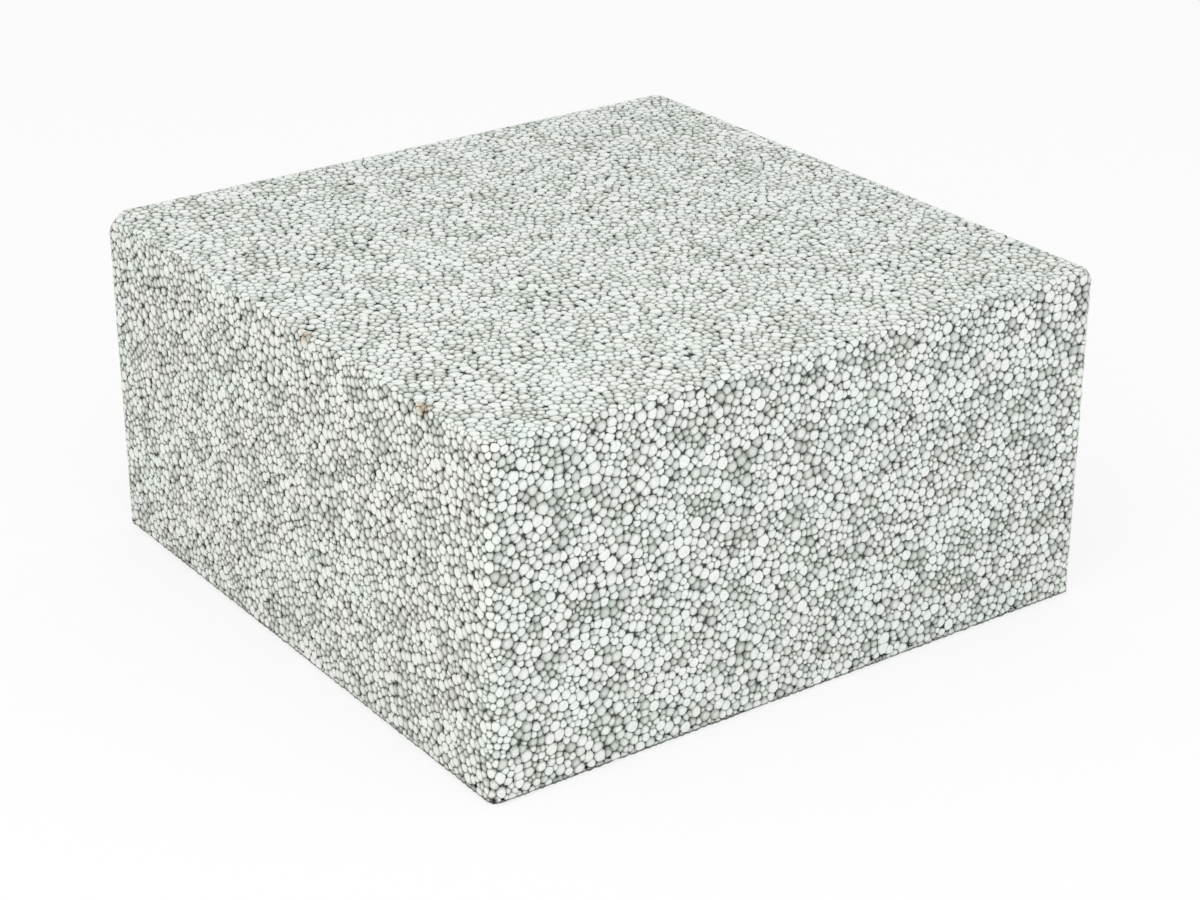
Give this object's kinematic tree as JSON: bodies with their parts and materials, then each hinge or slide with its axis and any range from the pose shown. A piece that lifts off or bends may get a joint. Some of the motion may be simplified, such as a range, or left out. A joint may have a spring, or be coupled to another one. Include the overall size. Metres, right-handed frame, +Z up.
{
  "type": "foam block",
  "caption": "White expanded bead foam block, square in plan and half as high as it is long, with flat faces, narrow rounded edges and slightly worn top corners.",
  "frame": {"origin": "middle of the bottom face, which the block rests on", "axes": "+Z up, the short way through the block; +X and +Y along its two equal sides; the nearest corner in the picture is at -X -Y"},
  "size_m": [0.3, 0.3, 0.15],
  "materials": {
    "bead_foam": "expanded and fused polystyrene beads, matt white, with fine grey gaps between the beads"
  },
  "bodies": {
    "root": {"foam_block": "bead_foam"}
  },
  "joints": []
}
